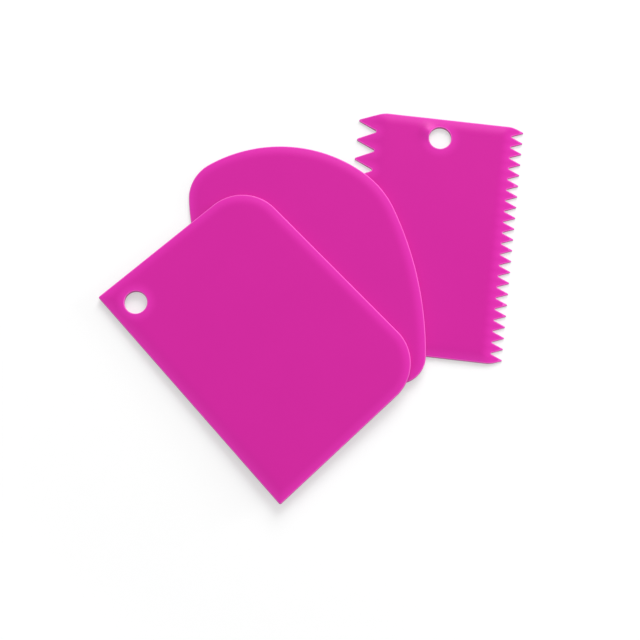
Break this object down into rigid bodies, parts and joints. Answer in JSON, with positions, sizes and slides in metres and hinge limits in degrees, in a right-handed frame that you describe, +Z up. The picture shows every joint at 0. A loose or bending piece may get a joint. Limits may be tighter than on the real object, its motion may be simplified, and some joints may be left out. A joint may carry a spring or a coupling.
{
  "type": "icing smoother set",
  "caption": "Set of flat plastic icing smoothers lying fanned on each other: a comb with a fine and a coarse toothed side, a round-cornered bowl scraper and a straight-edged dough scraper.",
  "frame": {"origin": "middle of the whole fanned set in plan, on the table that it lies on", "axes": "+Z up from the table; +X to the right of the picture, across the comb from its coarse teeth towards its fine teeth; +Y away from the viewer, towards the comb's hanging hole"},
  "size_m": [0.189, 0.1764, 0.006],
  "materials": {
    "pink_plastic": "satin moulded polypropylene, slightly translucent, so that its thin edges look lighter"
  },
  "bodies": {
    "comb_body": {"decorating_comb": "pink_plastic"},
    "bowl_body": {"bowl_scraper": "pink_plastic"},
    "dough_body": {"dough_scraper": "pink_plastic"}
  },
  "joints": [
    {"name": "bowl_scraper_lift", "type": "slide", "parent": "comb_body", "child": "bowl_body", "axis": [0, 0, 1], "range_m": [0, 0.06]},
    {"name": "dough_scraper_lift", "type": "slide", "parent": "bowl_body", "child": "dough_body", "axis": [0, 0, 1], "range_m": [0, 0.06]}
  ]
}
